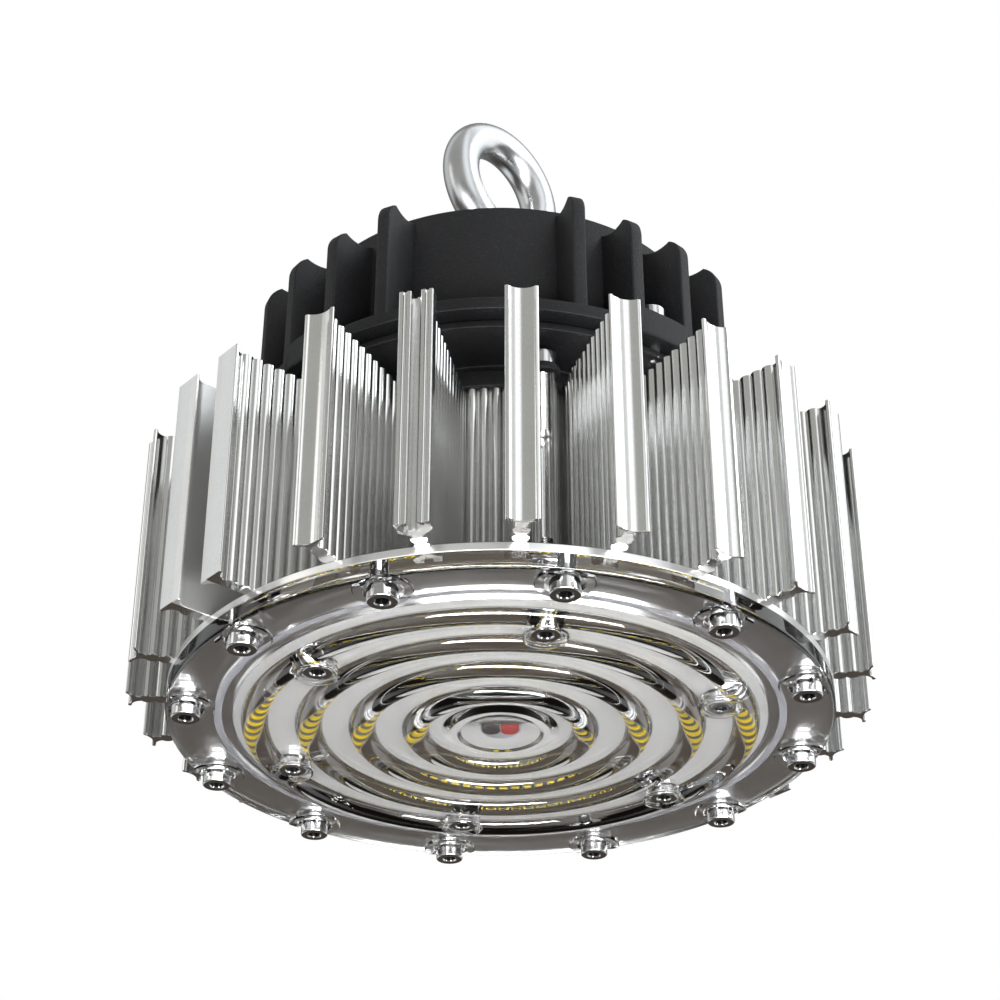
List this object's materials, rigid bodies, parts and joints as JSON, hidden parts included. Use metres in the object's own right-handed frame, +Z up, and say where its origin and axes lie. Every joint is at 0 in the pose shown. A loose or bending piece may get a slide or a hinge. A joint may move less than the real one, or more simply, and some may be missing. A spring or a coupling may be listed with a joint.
{
  "type": "high bay light",
  "caption": "High bay light: clear ring-ridged lens under a corrugated radial-fin heatsink, with a ribbed black driver housing and a lifting eye on top.",
  "frame": {"origin": "on the light's vertical axis, in the plane of the faces of the lens's rim screws, which it stands on", "axes": "+Z up towards the lifting eye, -Y towards the flat-walled slot of the extrusion"},
  "size_m": [0.1788, 0.1794, 0.189],
  "materials": {
    "clear_pc": "clear moulded polycarbonate, glossy",
    "silicone_grey": "soft silicone, matt",
    "board_white": "white solder mask on an aluminium board",
    "phosphor": "yellow phosphor over a white chip body",
    "plate_alu": "turned aluminium sheet, bright edge",
    "fin_alu": "bright extruded aluminium, satin caps, fine grain",
    "steel": "polished stainless steel",
    "black_cast": "black fine-textured powder coat on die-cast aluminium",
    "black_rubber": "black seal rubber, matt",
    "zinc": "bright zinc-plated forged steel, satin",
    "black_plastic": "black polyamide, fine texture",
    "driver_green": "green solder mask",
    "core_yellow": "yellow transformer tape",
    "can_black": "shrink-sleeved capacitor can",
    "terminal_grey": "grey moulded polyamide",
    "insul_black": "black silicone wire insulation",
    "insul_red": "red silicone wire insulation"
  },
  "bodies": {
    "root": {"lens": "clear_pc", "lens_gasket": "silicone_grey", "led_board": "board_white", "led_ring_1": "phosphor", "led_ring_2": "phosphor", "led_ring_3": "phosphor", "led_ring_4": "phosphor", "base_plate": "plate_alu", "heatsink": "fin_alu", "lens_rim_screws": "steel", "lens_inner_screws": "steel", "driver_base": "black_cast", "foot_screws": "steel", "housing_gasket": "black_rubber", "driver_housing": "black_cast", "housing_screws": "steel", "eye_bolt": "zinc", "eye_washer": "zinc", "eye_nut": "zinc", "gland_seal": "black_rubber", "gland_body": "black_plastic", "gland_insert": "black_rubber", "gland_dome_nut": "black_plastic", "gland_lock_nut": "black_plastic", "driver_posts": "zinc", "driver_board": "driver_green", "driver_board_screws": "steel", "driver_transformer": "core_yellow", "driver_capacitors": "can_black", "terminal_block": "terminal_grey", "wire_grommet": "silicone_grey", "black_lead": "insul_black", "red_lead": "insul_red"}
  },
  "joints": []
}
